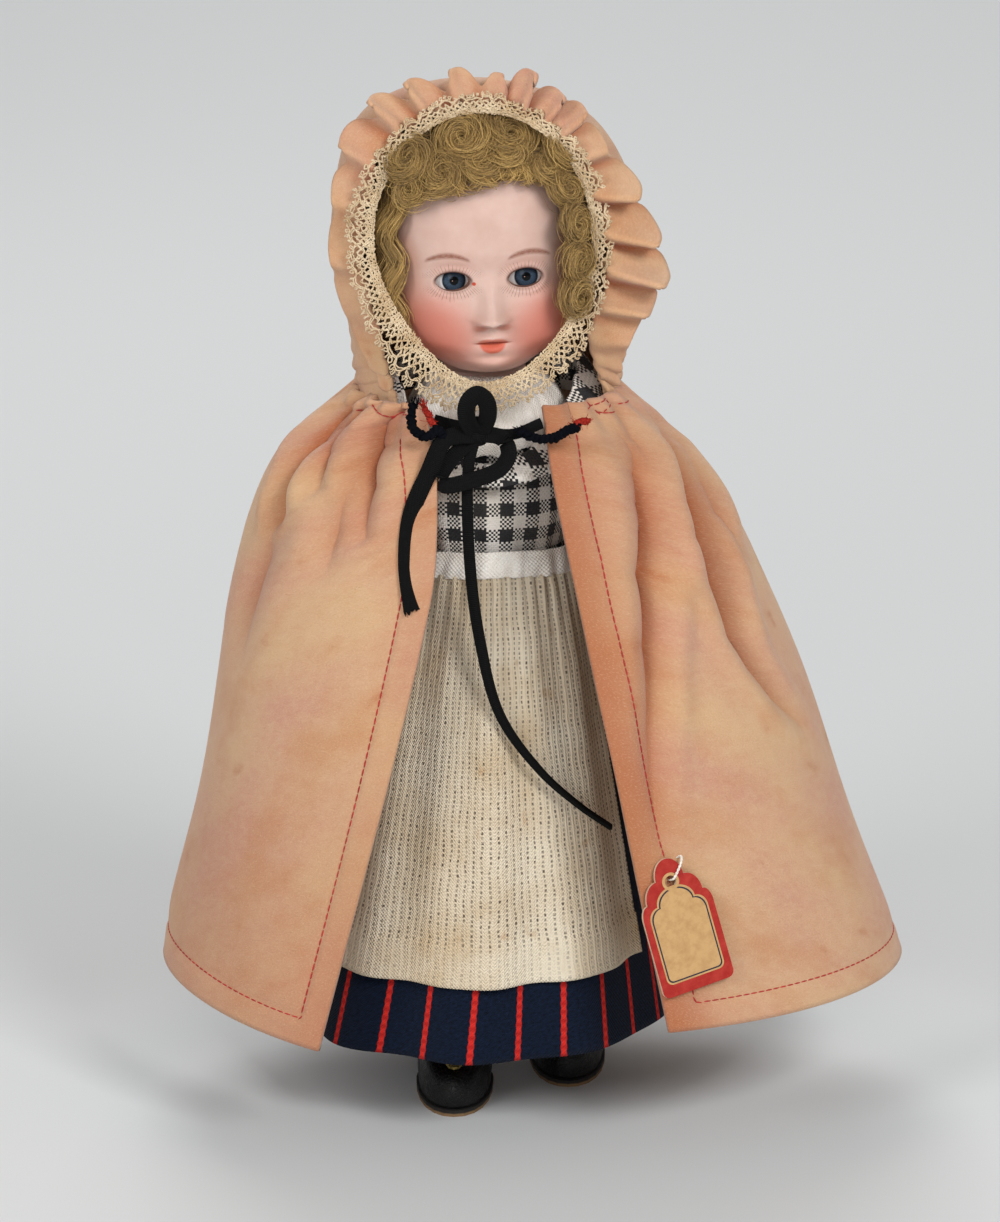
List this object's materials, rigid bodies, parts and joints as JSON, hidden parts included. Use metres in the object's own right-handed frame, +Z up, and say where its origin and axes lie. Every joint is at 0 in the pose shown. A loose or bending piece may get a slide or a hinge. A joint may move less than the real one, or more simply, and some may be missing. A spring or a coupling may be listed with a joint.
{
  "type": "bisque doll",
  "caption": "Small bisque-headed doll with glass sleeping eyes, strung composition body, gingham blouse, apron, striped skirt and a hooded cape.",
  "frame": {"origin": "on the floor under the middle of the whole outline, cape included", "axes": "+Z up, the doll faces -Y and its own left is +X"},
  "size_m": [0.1813, 0.122, 0.2555],
  "materials": {
    "bisque": "unglazed tinted porcelain, faintly satin",
    "composition": "painted papier mache, matt",
    "card": "raw tan card",
    "mohair": "curled mohair",
    "eye_glass": "polished blown glass",
    "plaster": "cast plaster, matt",
    "lead": "dull grey metal",
    "steel_wire": "drawn wire",
    "plug_wood": "turned, unvarnished",
    "elastic": "covered elastic cord",
    "gingham": "woven black and white checks",
    "white_cotton": "plain weave, matt",
    "apron_cotton": "openwork stripe weave, matt",
    "navy_wool": "napped wool with red cord stripes",
    "felt": "brushed felted cotton, faded",
    "lace": "thread lace",
    "ribbon": "narrow woven ribbon",
    "oilcloth": "coated cloth, dull gloss",
    "rosette_brass": "pressed, tarnished",
    "tag_card": "printed card",
    "thread": "twisted cotton"
  },
  "bodies": {
    "torso": {"torso": "composition", "arm_elastic": "elastic", "leg_elastic": "elastic", "head_elastic": "elastic", "blouse": "gingham", "kerchief": "gingham", "collar": "white_cotton", "skirt": "navy_wool", "apron": "apron_cotton", "apron_waistband": "white_cotton", "cape": "felt", "hood": "felt", "hood_lace": "lace", "neck_ribbon": "ribbon", "tag_thread": "thread"},
    "head": {"bisque_head": "bisque", "crown_pate": "card", "wig": "mohair", "left_eye_bearing": "plaster", "right_eye_bearing": "plaster", "neck_plug": "plug_wood", "neck_hook": "steel_wire"},
    "eyes": {"left_eye": "eye_glass", "right_eye": "eye_glass", "eye_rocker": "steel_wire", "eye_weight": "lead"},
    "left_arm": {"left_arm": "composition", "left_arm_hook": "steel_wire", "left_sleeve": "gingham"},
    "left_leg": {"left_leg": "composition", "left_leg_hook": "steel_wire", "left_shoe_upper": "oilcloth", "left_shoe_sole": "card", "left_shoe_rosette": "rosette_brass"},
    "right_arm": {"right_arm": "composition", "right_arm_hook": "steel_wire", "right_sleeve": "gingham"},
    "right_leg": {"right_leg": "composition", "right_leg_hook": "steel_wire", "right_shoe_upper": "oilcloth", "right_shoe_sole": "card", "right_shoe_rosette": "rosette_brass"},
    "tag": {"swing_tag": "tag_card"}
  },
  "joints": [
    {"name": "head_turn", "type": "hinge", "parent": "torso", "child": "head", "pos_m": [-0.0111, -0.0002, 0.1735], "axis": [0, 0, 1], "range_deg": [-30, 30]},
    {"name": "eyes_sleep", "type": "hinge", "parent": "head", "child": "eyes", "pos_m": [-0.01115, -0.01584, 0.20603], "axis": [0.9952, 0.0872, 0.0435], "range_deg": [0, 60]},
    {"name": "left_arm_swing", "type": "hinge", "parent": "torso", "child": "left_arm", "pos_m": [0.01357, -0.0002, 0.1575], "axis": [1, 0, 0], "range_deg": [-18, 24]},
    {"name": "left_leg_swing", "type": "hinge", "parent": "torso", "child": "left_leg", "pos_m": [0.0033, -0.0002, 0.096], "axis": [1, 0, 0], "range_deg": [-25, 6]},
    {"name": "right_arm_swing", "type": "hinge", "parent": "torso", "child": "right_arm", "pos_m": [-0.03577, -0.0002, 0.1575], "axis": [1, 0, 0], "range_deg": [-18, 24]},
    {"name": "right_leg_swing", "type": "hinge", "parent": "torso", "child": "right_leg", "pos_m": [-0.0255, -0.0002, 0.096], "axis": [1, 0, 0], "range_deg": [-15, 22]},
    {"name": "tag_swing", "type": "hinge", "parent": "torso", "child": "tag", "pos_m": [0.03193, -0.05458, 0.06865], "axis": [0.328, -0.9232, 0.2002], "range_deg": [-25, 25]}
  ]
}
